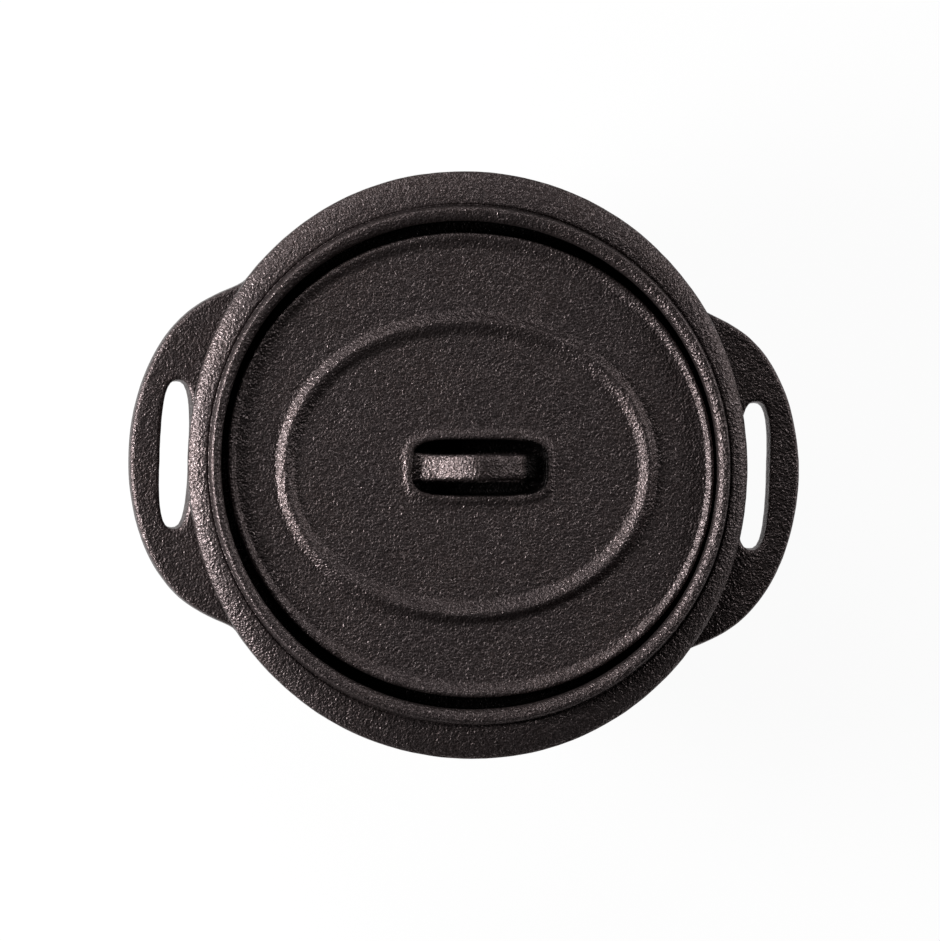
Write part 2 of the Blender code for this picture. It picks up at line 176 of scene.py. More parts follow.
class Wire:
    """One output of a node. Arithmetic on wires adds Math nodes to the tree that they are in."""

    def __init__(self, output):
        self.output = output

    def maths(self, operation, *others):
        values = dict(enumerate((self, *others)))
        return add_node(self.output.id_data, "ShaderNodeMath", {"operation": operation}, values)

    def __add__(self, other):
        return self.maths("ADD", other)

    def __sub__(self, other):
        return self.maths("SUBTRACT", other)

    def __mul__(self, other):
        return self.maths("MULTIPLY", other)

    def __truediv__(self, other):
        return self.maths("DIVIDE", other)

    def __pow__(self, other):
        return self.maths("POWER", other)

    def __rsub__(self, other):
        return self.maths("MULTIPLY_ADD", -1.0, other)

    def __rtruediv__(self, other):
        return self.maths("POWER", -1.0) * other

    __radd__ = __add__
    __rmul__ = __mul__

    def limited(self):
        """The value kept between 0 and 1."""
        return self.maths("MAXIMUM", 0.0).maths("MINIMUM", 1.0)

    def above(self, start, steepness):
        """A mask that rises from 0 at this start to 1."""
        return ((self - start) * steepness).limited()

    def below(self, end, steepness):
        """A mask that falls from 1 to 0 at this end."""
        return ((end - self) * steepness).limited()


def add_node(tree, kind, settings=None, values=None, output=0):
    """A node with its settings made first and its sockets then set or linked."""
    node = tree.nodes.new(kind)
    for name, setting in (settings or {}).items():
        setattr(node, name, setting)
    for name, value in (values or {}).items():
        if isinstance(value, Wire):
            tree.links.new(value.output, node.inputs[name])
        else:
            node.inputs[name].default_value = value
    return Wire(node.outputs[output])


def split(tree, vector):
    """Wires for a vector's three parts."""
    return [add_node(tree, "ShaderNodeSeparateXYZ", None, {0: vector}, axis) for axis in range(3)]


def start_tree(name, inputs):
    """A Geometry Nodes tree with a geometry input and these named ones, and a wire for each."""
    tree = bpy.data.node_groups.new(name, "GeometryNodeTree")
    tree.interface.new_socket("Geometry", in_out="INPUT", socket_type="NodeSocketGeometry")
    for label, kind in inputs.items():
        tree.interface.new_socket(label, in_out="INPUT", socket_type="NodeSocket" + kind)
    tree.interface.new_socket("Geometry", in_out="OUTPUT", socket_type="NodeSocketGeometry")
    entry = tree.nodes.new("NodeGroupInput")
    return tree, {socket.name: Wire(socket) for socket in entry.outputs if socket.name}


def end_tree(tree, geometry, material):
    """Realizes instances, sets the material and hands the geometry out."""
    realized = add_node(tree, "GeometryNodeRealizeInstances", values={"Geometry": geometry})
    painted = add_node(tree, "GeometryNodeSetMaterial", values={
        "Geometry": realized, "Material": material,
    })
    leaving = tree.nodes.new("NodeGroupOutput")
    tree.links.new(painted.output, leaving.inputs["Geometry"])


def add_tree(piece, tree, values):
    """Puts a tree on a piece, with its inputs set by their identifiers."""
    modifier = piece.modifiers.new(tree.name, "NODES")
    modifier.node_group = tree
    for socket in tree.interface.items_tree:
        if socket.in_out == "INPUT" and socket.name in values:
            modifier[socket.identifier] = values[socket.name]


def plain_mesh(name, piece):
    """A new object with the piece's finished mesh, smooth all over. The piece itself is removed."""
    evaluated = piece.evaluated_get(bpy.context.evaluated_depsgraph_get())
    mesh = bpy.data.meshes.new_from_object(evaluated)
    mesh.name = name
    mesh.shade_smooth()
    bpy.data.objects.remove(piece, do_unlink=True)
    finished = bpy.data.objects.new(name, mesh)
    bpy.context.scene.collection.objects.link(finished)
    return finished


def oval_reach(cosine, sine, half_x, half_y, squareness, skew):
    """Wire for the distance from an oval's centre to its edge, in the direction of a cosine and sine."""
    across = cosine / half_x
    along = (sine / half_y + across * skew.maths("SINE")) / skew.maths("COSINE")
    powers = across.maths("ABSOLUTE") ** squareness + along.maths("ABSOLUTE") ** squareness
    return powers ** (-1.0 / squareness)


def build_oval_tree():
    """The tree that sweeps a profile round: a grid of stations by rings, each point put on its oval.

    An ear is an ellipse, once on each side. Where it reaches past the ring, a ring's ear share
    pulls the point out to it. The ear's root keeps to the rim, tucked a little inside it, and
    fades into the ring between the strip sine and the end sine of the bearing. The blend rounds
    the corner where ear and root cross."""
    tree, wires = start_tree("Oval casting", {
        "Stations": "Int", "Ear tip": "Float", "Ear length": "Float", "Ear spread": "Float",
        "Ear turn": "Float", "Turn spread": "Float", "Ear blend": "Float", "Ear tuck": "Float",
        "Strip sine": "Float", "End sine": "Float", "Rim half": "Vector", "Rim skew": "Float",
        "Seam reach": "Float", "Place": "Vector", "Turn": "Vector", "Material": "Material",
    })
    profile = wires["Geometry"]
    rings = add_node(tree, "GeometryNodeAttributeDomainSize", {"component": "MESH"}, {
        "Geometry": profile,
    })
    grid = add_node(tree, "GeometryNodeMeshGrid", values={
        "Size X": 1.0, "Size Y": 1.0, "Vertices X": wires["Stations"] + 1.0, "Vertices Y": rings,
    })
    index = add_node(tree, "GeometryNodeInputIndex")
    station = (index / rings + INDEX_NUDGE).maths("FLOOR")
    ring = index - station * rings
    turn = station / wires["Stations"] * (2.0 * math.pi)
    cosine = turn.maths("COSINE")
    sine = turn.maths("SINE")

    def sampled(kind, value):
        return add_node(tree, "GeometryNodeSampleIndex", {"data_type": kind}, {
            "Geometry": profile, "Value": value, "Index": ring,
        })

    def column(name):
        kind = "GeometryNodeInputNamedAttribute"
        return sampled("FLOAT", add_node(tree, kind, {"data_type": "FLOAT"}, {"Name": name}))

    ring_place = sampled("FLOAT_VECTOR", add_node(tree, "GeometryNodeInputPosition"))
    half_x, half_y, height = split(tree, ring_place)
    squareness = column("squareness")
    base = oval_reach(cosine, sine, half_x, half_y, squareness, column("skew"))
    rim_x, rim_y = split(tree, wires["Rim half"])[:2]
    rim = oval_reach(cosine, sine, rim_x, rim_y, squareness, wires["Rim skew"])
    from_ear = turn - wires["Ear turn"] + cosine.maths("SIGN") * wires["Turn spread"]
    ear_cosine = from_ear.maths("COSINE").maths("ABSOLUTE") / wires["Ear length"]
    ear_sine = from_ear.maths("SINE") / wires["Ear spread"]
    ear_centre = (wires["Ear tip"] - wires["Ear length"]) / wires["Ear length"]
    ray = ear_cosine * ear_cosine + ear_sine * ear_sine
    along = ear_cosine * ear_centre
    spare = along * along - ray * (ear_centre * ear_centre - 1.0)
    ear_edge = (along + spare.maths("MAXIMUM", 0.0).maths("SQRT")) / ray
    ear_edge = ear_edge * spare.maths("GREATER_THAN", 0.0)
    left_over = wires["End sine"] - sine.maths("ABSOLUTE")
    fade = (left_over / (wires["End sine"] - wires["Strip sine"])).limited()
    fade = fade * fade * (3.0 - 2.0 * fade)
    tucked = base + (rim - base) * fade - wires["Ear tuck"]
    mixed = (0.5 + 0.5 * (ear_edge - tucked) / wires["Ear blend"]).limited()
    reach = tucked + (ear_edge - tucked) * mixed + wires["Ear blend"] * mixed * (1.0 - mixed)
    stand = (reach - base).maths("MAXIMUM", 0.0)
    away = column("away")
    pulled = (stand - column("inset") - away).maths("MAXIMUM", 0.0) * column("ear")
    radius = base + stand.maths("MINIMUM", away) + pulled
    place = add_node(tree, "ShaderNodeCombineXYZ", None, {
        "X": column("shift_x") + radius * cosine, "Y": column("shift_y") + radius * sine, "Z": height,
    })
    swept = add_node(tree, "GeometryNodeSetPosition", None, {"Geometry": grid, "Position": place})
    closed = add_node(tree, "GeometryNodeMergeByDistance", None, {
        "Geometry": swept, "Distance": wires["Seam reach"],
    })
    placed = add_node(tree, "GeometryNodeTransform", None, {
        "Geometry": closed, "Translation": wires["Place"], "Rotation": wires["Turn"],
    })
    end_tree(tree, placed, wires["Material"])
    return tree


oval_casting = build_oval_tree()


def sweep(name, profile, stations, place=(0.0, 0.0, 0.0), turn=(0.0, 0.0, 0.0)):
    """An object that sweeps a profile round, still with its live tree."""
    piece = bpy.data.objects.new(name, profile.mesh(name))
    bpy.context.scene.collection.objects.link(piece)
    add_tree(piece, oval_casting, {
        "Stations": stations, "Ear tip": EAR_TIP, "Ear length": EAR_LENGTH, "Ear spread": EAR_SPREAD,
        "Ear turn": (LEFT_EAR_TURN + RIGHT_EAR_TURN) / 2.0,
        "Turn spread": (LEFT_EAR_TURN - RIGHT_EAR_TURN) / 2.0,
        "Ear blend": EAR_BLEND, "Ear tuck": EAR_TUCK,
        "Strip sine": EAR_STRIP_SINE, "End sine": EAR_END_SINE, "Rim half": (*SHOULDER_HALF, 0.0),
        "Rim skew": POT_SKEW, "Seam reach": SEAM_REACH, "Place": place, "Turn": turn,
    })
    return piece


def combine(piece, tool, operation):
    """Joins a tool to a piece, or cuts it out, once the piece is finished."""
    tool.hide_render = True
    change = piece.modifiers.new(tool.name, "BOOLEAN")
    change.operation = operation
    change.solver = "EXACT"
    change.object = tool


seat_height = POT_HEIGHT - SEAT_DEPTH
crease_height = POT_HEIGHT - RING_STEP
widest_height = crease_height - SHOULDER_DROP
underside_height = widest_height - SHOULDER_EDGE
edge_height = underside_height + SHOULDER_EDGE_ROUND
neck_top = underside_height - NECK_HEIGHT
ear_top = widest_height - EAR_DROP
ear_bottom = ear_top - EAR_THICKNESS


def rim_half(height):
    """The half of the bare rim below its widest line: the hollow underside, then its rounded edge."""
    under = SHOULDER_HALF - both(SHOULDER_EDGE_ROUND)
    if height <= underside_height:
        climb = (height - neck_top) / NECK_HEIGHT
        hollow = 1.0 - math.sqrt(max(1.0 - climb * climb, 0.0))
        return NECK_HALF.lerp(under, climb + (hollow - climb) * NECK_HOLLOW)
    share = min((height - underside_height) / SHOULDER_EDGE_ROUND, 1.0)
    return under.lerp(SHOULDER_HALF, math.sqrt(1.0 - (1.0 - share) ** 2))


def add_rim_rings(profile, top, steps):
    """Rings up the bare rim to this height, closer together where it turns level."""
    bottom = profile.rows[-1][2]
    for step in range(1, steps + 1):
        height = bottom + (top - bottom) * math.sin(step / steps * math.pi / 2.0)
        profile.to(rim_half(height), height, 1)


def add_ear_arc(profile, bottom, size, steps, upright_first, column, **others):
    """Rings up a quarter round of a lug. The named column takes how far it stands back."""
    for step in range(1, steps + 1):
        turn = step / steps * math.pi / 2.0
        sine, cosine = math.sin(turn), math.cos(turn)
        climb, back = (sine, 1.0 - cosine) if upright_first else (1.0 - cosine, 1.0 - sine)
        height = bottom + size * climb
        profile.to(rim_half(height), height, 1, **{column: size * back}, **others)


def add_ear_rings(profile):
    """The rings that a lug uses: out along its underside, round its edge and back over its top."""
    fillet_bottom = ear_bottom - EAR_BOTTOM_FILLET
    add_rim_rings(profile, fillet_bottom, 3)
    add_ear_arc(profile, fillet_bottom, EAR_BOTTOM_FILLET, 5, True, "away", inset=EAR_BOTTOM_ROUND)
    profile.to(rim_half(ear_bottom), ear_bottom, 12, ear=1.0)
    add_ear_arc(profile, ear_bottom, EAR_BOTTOM_ROUND, 4, False, "inset")
    edge_bottom = ear_bottom + EAR_BOTTOM_ROUND
    edge_top = ear_top - EAR_TOP_ROUND
    for step in range(1, EAR_EDGE_STEPS + 1):
        height = edge_bottom + (edge_top - edge_bottom) * step / EAR_EDGE_STEPS
        profile.to(rim_half(height), height, 1)
    add_ear_arc(profile, edge_top, EAR_TOP_ROUND, 5, True, "inset")
    profile.to(rim_half(ear_top), ear_top, 16, ear=0.0, away=EAR_TOP_FILLET)
    add_ear_arc(profile, ear_top, EAR_TOP_FILLET, 4, False, "away", inset=0.0)


def draw_pot():
    """The pot's profile, from the middle of its underside to the middle of its inner floor."""
    pot = Profile(FOOT_RECESS, skew=POT_SKEW)
    inner_foot = FOOT_HALF - both(FOOT_WIDTH)
    pot.to(inner_foot - both(FOOT_SLOPE), FOOT_RECESS, 12)
    pot.to(inner_foot, 0.0, 3, "wave")
    pot.to(FOOT_HALF, 0.0, 4)
    pot.to(NECK_HALF, neck_top, 36, "out", SIDE_ROUNDNESS, SIDE_TIGHTNESS)
    add_ear_rings(pot)
    add_rim_rings(pot, underside_height, 8)
    add_rim_rings(pot, edge_height, 5)
    pot.to(SHOULDER_HALF, widest_height, 3)
    crease_half = RING_HALF + both(CREASE_WIDTH)
    pot.to(crease_half, crease_height, 16, "up", SHOULDER_CROWN)
    pot.to(RING_HALF.lerp(crease_half, CREASE_LOW_AT), crease_height - CREASE_DEPTH, 4, "wave")
    pot.to(RING_HALF, crease_height, 3)
    pot.to(MOUTH_HALF.lerp(RING_HALF, RING_CREST), POT_HEIGHT, 8, "up")
    pot.to(MOUTH_HALF, POT_HEIGHT - RING_INNER_ROUND, 10, "out")
    pot.to(MOUTH_HALF, seat_height + SEAT_CORNER, 8)
    pot.to(MOUTH_HALF - both(SEAT_CORNER), seat_height, 4, "up")
    pot.to(INNER_HALF + both(SEAT_EDGE_ROUND), seat_height, 5)
    pot.to(INNER_HALF, seat_height - SEAT_EDGE_ROUND, 3, "out")
    pot.to(FLOOR_HALF, FLOOR_HEIGHT, 36, "up", SIDE_ROUNDNESS, SIDE_TIGHTNESS)
    pot.to((CENTRE_HALF, CENTRE_HALF), FLOOR_HEIGHT, 14)
    return pot


def draw_keeper():
    """The bare rim with a thin skin, which the slots' cutters must leave whole. Without the skin
    a cutter's face would lie in the rim's own surface, which leaves slivers."""
    keeper = Profile(neck_top, skew=POT_SKEW)
    keeper.to(NECK_HALF, neck_top, 1)
    add_rim_rings(keeper, underside_height, 8)
    add_rim_rings(keeper, edge_height, 5)
    keeper.to(SHOULDER_HALF, widest_height, 1)
    keeper.to(RING_HALF, crease_height, 6, "up", SHOULDER_CROWN)
    for row in keeper.rows[1:]:
        row[0] += KEEPER_SKIN
        row[1] += KEEPER_SKIN
    keeper.to((CENTRE_HALF, CENTRE_HALF), crease_height, 1)
    return keeper


def draw_slot(side):
    """The profile of a slot's cutter: straight through, and flared where it leaves the lug."""
    middle = (side * (EAR_TIP - BAR_WIDTH - SLOT_HALF.x), 0.0)
    slot = Profile(ear_bottom - CUT_OVER, SLOT_SQUARENESS, shift=middle)
    flare = both(EAR_BOTTOM_ROUND / 2.0)
    over = both(CUT_OVER)
    slot.to(SLOT_HALF + flare + over, ear_bottom - CUT_OVER, 1)
    slot.to(SLOT_HALF + flare, ear_bottom, 1)
    slot.to(SLOT_HALF, ear_bottom + flare.x, 4, "up")
    high = SLOT_HALF + both(SLOT_DRAFT)
    slot.to(high, ear_top - EAR_TOP_ROUND, 3)
    brim = high + both(EAR_TOP_ROUND)
    slot.to(brim, ear_top, 6, "up")
    slot.to(brim + over, ear_top + CUT_OVER, 1)
    slot.to((CENTRE_HALF, CENTRE_HALF), ear_top + CUT_OVER, 1)
    return slot


IRON_BLACK = (0.050, 0.039, 0.039, 1.0)
IRON_GREY = (0.135, 0.111, 0.111, 1.0)
IRON_BROWN = (0.060, 0.045, 0.043, 1.0)
# Black painted into the colour as shade in the seat, the grip's pocket and on the lid's edge
PAINTED_SHADE_BLACK = (0.004, 0.003, 0.003, 1.0)
IRON_METALLIC = 0.92
ROUGHNESS_LOW = 0.36
ROUGHNESS_HIGH = 0.45
GRAIN_PER_METRE = 1500.0
SPECK_PER_METRE = 2400.0
LUMP_PER_METRE = 700.0
PIT_PER_METRE = 420.0
BLOTCH_PER_METRE = 38.0
BLOTCH_DETAIL = 3.0
NOISE_ROUGHNESS = 0.6
GRAIN_DEPTH = 0.00055
GRAIN_SHARE = 0.7
LUMP_SHARE = 0.7
LUMP_DISTORTION = 0.3
PIT_SHARE = 0.6
PIT_ROUGHNESS = 0.2
# How the painted shade fades in, and how far up the seat's wall it reaches
PAINTED_SHADE_FADE = 0.0012
SEAT_SHADE_REACH = 0.0052
SEAT_SHADE_START = 0.0024

# Masks: the value where each one starts or ends, and its steepness there
PIT_WALL = (0.4545, 2.2)
PITTED_LUMPS = (0.45, 3.0)
RUBBED_GRAINS = (0.45, 6.0)
BROWN_BLOTCHES = (0.40, 3.0)
# The edge of the painted shade round the seat
SEAT_SHADE_END = (1.04, 100.0)


def make_iron(name, painted_shade_mask):
    """Seasoned raw iron: black oil over grey metal, rubbed on its high grains, brown in blotches.

    The painted shade mask gives the hollows that are painted black as shade."""
    material = bpy.data.materials.new(name)
    material.use_nodes = True
    tree = material.node_tree
    shader = tree.nodes["Principled BSDF"]
    place = add_node(tree, "ShaderNodeTexCoord", output="Object")

    def noise(scale, detail=1.0, distortion=0.0):
        return add_node(tree, "ShaderNodeTexNoise", {"noise_dimensions": "3D"}, {
            "Vector": place, "Scale": scale, "Detail": detail, "Roughness": NOISE_ROUGHNESS,
            "Distortion": distortion,
        })

    def mixed(factor, first, second):
        """Two colours mixed: they are the node's sockets 6 and 7, and its output 2."""
        values = {"Factor": factor, 6: first, 7: second}
        return add_node(tree, "ShaderNodeMix", {"data_type": "RGBA"}, values, 2)

    grains = noise(GRAIN_PER_METRE)
    lumps = noise(LUMP_PER_METRE, distortion=LUMP_DISTORTION)
    specks = noise(SPECK_PER_METRE)
    blotches = noise(BLOTCH_PER_METRE, BLOTCH_DETAIL)
    cells = add_node(tree, "ShaderNodeTexVoronoi", {"feature": "F1"}, {
        "Vector": place, "Scale": PIT_PER_METRE,
    })
    pits = cells.below(*PIT_WALL) * lumps.above(*PITTED_LUMPS)
    height = grains * GRAIN_SHARE + lumps * LUMP_SHARE - pits * PIT_SHARE
    rubbed = ((grains + specks) / 2.0).above(*RUBBED_GRAINS)
    tinted = mixed(blotches.above(*BROWN_BLOTCHES), IRON_BLACK, IRON_BROWN)
    # The hollows' mask mixes black painted shade over the iron's colour
    coloured = mixed(painted_shade_mask(tree, place), mixed(rubbed, tinted, IRON_GREY), PAINTED_SHADE_BLACK)
    roughness = ROUGHNESS_HIGH - rubbed * (ROUGHNESS_HIGH - ROUGHNESS_LOW) + pits * PIT_ROUGHNESS
    bumped = add_node(tree, "ShaderNodeBump", None, {
        "Strength": 1.0, "Distance": GRAIN_DEPTH, "Height": height,
    })
    tree.links.new(coloured.output, shader.inputs["Base Color"])
    tree.links.new(roughness.output, shader.inputs["Roughness"])
    tree.links.new(bumped.output, shader.inputs["Normal"])
    shader.inputs["Metallic"].default_value = IRON_METALLIC
    return material


def seat_painted_shade(tree, place):
    """Painted shade: the lid's seat and the foot of the wall round it, painted black where they lie in
    shadow.
    """
    x, y, z = split(tree, place)
    from_middle = (x / MOUTH_HALF.x) ** 2.0 + (y / MOUTH_HALF.y) ** 2.0
    above = z.above(seat_height - SEAT_SHADE_START, 1.0 / PAINTED_SHADE_FADE)
    below = z.below(seat_height + SEAT_SHADE_REACH, 1.0 / PAINTED_SHADE_FADE)
    return from_middle.below(*SEAT_SHADE_END) * above * below


PEEL_SEED_STEP = 3.0
POT_SEED = 1.0
LID_SEED = 7.0


def build_skin_tree():
    """The tree that gives a casting its sand-mould skin: a slow swell and a close orange peel."""
    tree, wires = start_tree("Sand cast skin", {
        "Swell size": "Float", "Swell depth": "Float", "Peel size": "Float", "Peel depth": "Float",
        "Seed": "Float", "Material": "Material",
    })
    place = add_node(tree, "GeometryNodeInputPosition")

    def relief(size, depth, seed):
        wave = add_node(tree, "ShaderNodeTexNoise", {"noise_dimensions": "4D"}, {
            "Vector": place, "W": seed, "Scale": 1.0 / size, "Detail": 1.0, "Roughness": 0.5,
        })
        return (wave - 0.5) * 2.0 * depth

    height = relief(wires["Swell size"], wires["Swell depth"], wires["Seed"])
    height = height + relief(wires["Peel size"], wires["Peel depth"], wires["Seed"] + PEEL_SEED_STEP)
    normal = add_node(tree, "GeometryNodeInputNormal")
    offset = add_node(tree, "ShaderNodeVectorMath", {"operation": "SCALE"}, {
        "Vector": normal, "Scale": height,
    })
    moved = add_node(tree, "GeometryNodeSetPosition", None, {
        "Geometry": wires["Geometry"], "Offset": offset,
    })
    end_tree(tree, moved, wires["Material"])
    return tree


sand_cast_skin = build_skin_tree()
SKIN = {
    "Swell size": 0.014, "Swell depth": 0.00016, "Peel size": 0.0032, "Peel depth": 0.00009,
}

pot_iron = make_iron("Pot iron", seat_painted_shade)
pot_sweep = sweep("pot_sweep", draw_pot(), POT_STATIONS)
keeper = sweep("keeper", draw_keeper(), POT_STATIONS)
cutters = [keeper]
for name, side in (("left_slot", -1.0), ("right_slot", 1.0)):
    slot = sweep(name, draw_slot(side), SLOT_STATIONS, turn=(0.0, 0.0, SLOT_TURN))
    combine(slot, keeper, "DIFFERENCE")
    combine(pot_sweep, slot, "DIFFERENCE")
    cutters.append(slot)
add_tree(pot_sweep, sand_cast_skin, {**SKIN, "Seed": POT_SEED, "Material": pot_iron})
pot_casting = plain_mesh("pot_casting", pot_sweep)
for cutter in cutters:
    bpy.data.objects.remove(cutter, do_unlink=True)
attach(pot_casting, "pot")
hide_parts("casserole_pot")


# The lid is a second casting that lies loose in the seat, turned a little, as it was set down. Its
# edge turns up, an oval bead stiffens its plate, and its grip is a strap over a sunken pocket, so
# that a stack of pots stays low. The pocket's cup hangs under the plate.
lid_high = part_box("lid")[1]
LID_PLAY = Vector((0.0017, 0.0035))
LID_DRIFT = 0.50
LID_HALF = MOUTH_HALF - LID_PLAY
LID_SKEW = math.radians(1.5)
LID_PLATE = 0.0035
LID_TURN = math.radians(1.7)
LID_BOTTOM_ROUND = 0.0010
LIP_HEIGHT = 0.0013
LIP_ROUND = 0.0008
LIP_WIDTH = Vector((0.0026, 0.0048))
BEAD_HALF = Vector((0.0554, 0.0440))
BEAD_SHIFT = Vector((-0.0013, -0.0009))
BEAD_HEIGHT = 0.0017
BEAD_OUTER_FLANK = Vector((0.0030, 0.0031))
BEAD_INNER_FLANK = Vector((0.0038, 0.0048))
GRIP_SHIFT = Vector((0.0023, -0.0007))
POCKET_HALF = Vector((0.0203, 0.0085))
POCKET_DEPTH = 0.0075
POCKET_SQUARENESS = 4.0
POCKET_FLOOR_ROUND = 0.0022
POCKET_DRAFT = 0.0003
POCKET_EDGE_ROUND = 0.0007
CUP_WALL = 0.0032
CUP_ROUND = 0.0025
CUP_FILLET = 0.0014
MOUND_HEIGHT = 0.0007
MOUND_WIDTH = 0.0034
MOUND_CREST = 0.0012
STRAP_WIDTH = 0.0078
STRAP_THICKNESS = 0.0036
STRAP_CREST = 0.0074
STRAP_ROOT = -0.0012
STRAP_FLARE = 0.0036
STRAP_FLARE_POWER = 8
STRAP_SQUARENESS = 4.0
STRAP_BED = 0.0018
STRAP_STEPS = 96
STRAP_SECTION_STEPS = 56
LID_STATIONS = 560
# Painted shade in the pocket and on the lid's edge, and a painted shadow over the strap's right end
STRAP_SHADE_STEEPNESS = 12.0
STRAP_END_SHADOW = (0.62, 10.0)
POCKET_SHADE_END = (1.25, 8.0)
POCKET_SHADE_START = 0.00036
LID_EDGE_SHADE = (0.965, 80.0)
lid_place = Vector((LID_DRIFT * LID_PLAY.x, 0.0, lid_high.z - STRAP_CREST))


def draw_lid():
    """The lid's profile, from the middle of its cup, round its edge, to the middle of its pocket."""
    cup_bottom = -(POCKET_DEPTH + CUP_WALL)
    cup = POCKET_HALF + both(CUP_WALL)
    lid = Profile(cup_bottom, POCKET_SQUARENESS, shift=GRIP_SHIFT)
    lid.to(cup - both(CUP_ROUND), cup_bottom, 8)
    lid.to(cup, cup_bottom + CUP_ROUND, 6, "out")
    lid.to(cup, -LID_PLATE - CUP_FILLET, 3)
    lid.to(cup + both(CUP_FILLET), -LID_PLATE, 4, "up")
    edge_at = {"squareness": OVAL_SQUARENESS, "skew": LID_SKEW, "shift_x": 0.0, "shift_y": 0.0}
    lid.to(LID_HALF - both(LID_BOTTOM_ROUND), -LID_PLATE, 24, **edge_at)
    lid.to(LID_HALF, LID_BOTTOM_ROUND - LID_PLATE, 4, "out")
    lid.to(LID_HALF, LIP_HEIGHT - LIP_ROUND, 4)
    lid.to(LID_HALF - both(LIP_ROUND), LIP_HEIGHT, 4, "up")
    lid.to(LID_HALF - LIP_WIDTH, 0.0, 9, "wave")
    bead_at = {"skew": 0.0, "shift_x": BEAD_SHIFT.x, "shift_y": BEAD_SHIFT.y}
    lid.to(BEAD_HALF + BEAD_OUTER_FLANK, 0.0, 16, **bead_at)
    lid.to(BEAD_HALF, BEAD_HEIGHT, 9, "wave")
    lid.to(BEAD_HALF - BEAD_INNER_FLANK, 0.0, 11, "wave")
    grip_at = {"shift_x": GRIP_SHIFT.x, "shift_y": GRIP_SHIFT.y}
    lid.to(POCKET_HALF + both(MOUND_WIDTH), 0.0, 28, squareness=POCKET_SQUARENESS, **grip_at)
    lid.to(POCKET_HALF + both(MOUND_CREST), MOUND_HEIGHT, 5, "wave")
    lid.to(POCKET_HALF + both(POCKET_EDGE_ROUND), MOUND_HEIGHT, 1)
    lid.to(POCKET_HALF, MOUND_HEIGHT - POCKET_EDGE_ROUND, 4, "out")
    lid.to(POCKET_HALF - both(POCKET_DRAFT), POCKET_FLOOR_ROUND - POCKET_DEPTH, 7)
    lid.to(POCKET_HALF - both(POCKET_FLOOR_ROUND), -POCKET_DEPTH, 5, "up")
    lid.to((CENTRE_HALF, CENTRE_HALF), -POCKET_DEPTH, 8)
    return lid


def power_wave(value, squareness):
    """A cosine or sine, raised so that a circle turns into a rounded square."""
    return math.copysign(abs(value) ** (2.0 / squareness), value)


def build_strap():
    """The strap: a rounded oblong section carried over an arch, wider at the pocket's ends."""
    shape = bmesh.new()
    sections = []
    reach = POCKET_HALF.x + STRAP_BED
    rise = STRAP_CREST - STRAP_ROOT
    for step in range(STRAP_STEPS + 1):
        along = reach * (2.0 * step / STRAP_STEPS - 1.0)
        share = min(abs(along) / POCKET_HALF.x, 1.0)
        top = STRAP_ROOT + rise * (1.0 + math.cos(math.pi * share)) / 2.0
        slope = rise * math.pi / (2.0 * POCKET_HALF.x) * math.sin(math.pi * share)
        upright = STRAP_THICKNESS * math.hypot(1.0, slope)
        width = STRAP_WIDTH + STRAP_FLARE * share ** STRAP_FLARE_POWER
        section = []
        for corner in range(STRAP_SECTION_STEPS):
            turn = 2.0 * math.pi * corner / STRAP_SECTION_STEPS
            place = Vector((
                GRIP_SHIFT.x + along,
                GRIP_SHIFT.y + width / 2.0 * power_wave(math.cos(turn), STRAP_SQUARENESS),
                top - upright / 2.0 + upright / 2.0 * power_wave(math.sin(turn), STRAP_SQUARENESS),
            ))
            section.append(shape.verts.new(place))
        sections.append(section)
    for section, following in zip(sections, sections[1:]):
        for corner in range(STRAP_SECTION_STEPS):
            after = (corner + 1) % STRAP_SECTION_STEPS
            shape.faces.new((section[corner], section[after], following[after], following[corner]))
    shape.faces.new(sections[0])
    shape.faces.new(sections[-1])
    bmesh.ops.recalc_face_normals(shape, faces=shape.faces)
    mesh = bpy.data.meshes.new("strap")
    shape.to_mesh(mesh)
    shape.free()
    strap = bpy.data.objects.new("strap", mesh)
    bpy.context.scene.collection.objects.link(strap)
    strap.location = lid_place
    strap.rotation_euler = (0.0, 0.0, LID_TURN)
    return strap


def pocket_painted_shade(tree, place):
    """Painted shade, black in the colour: the pocket beside the strap, a painted shadow beyond the
    strap's right end, and the lid's upright edge.
    """
    middle = lid_place + Matrix.Rotation(LID_TURN, 3, "Z") @ GRIP_SHIFT.to_3d()
    own = add_node(tree, "ShaderNodeMapping", {"vector_type": "TEXTURE"}, {
        "Vector": place, "Location": middle, "Rotation": (0.0, 0.0, LID_TURN),
        "Scale": (*POCKET_HALF, 1.0),
    })
    x, y, z = split(tree, own)
    inside = (x ** POCKET_SQUARENESS + y ** POCKET_SQUARENESS).below(*POCKET_SHADE_END)
    strap_side = STRAP_WIDTH / 2.0 / POCKET_HALF.y
    beside = y.maths("ABSOLUTE").above(strap_side, STRAP_SHADE_STEEPNESS)
    # A painted shadow over the strap's right end, where it falls away from the key light
    beyond = x.above(*STRAP_END_SHADOW)
    deep = z.below(-POCKET_SHADE_START, 1.0 / PAINTED_SHADE_FADE)
    # The lid's upright edge below its lip, painted black as shade
    edge_x, edge_y = split(tree, place)[:2]
    from_middle = (edge_x / LID_HALF.x) ** 2.0 + (edge_y / LID_HALF.y) ** 2.0
    at_edge = from_middle.above(*LID_EDGE_SHADE)
    in_pocket = inside * (beside * deep).maths("MAXIMUM", beyond)
    return in_pocket.maths("MAXIMUM", at_edge * deep)


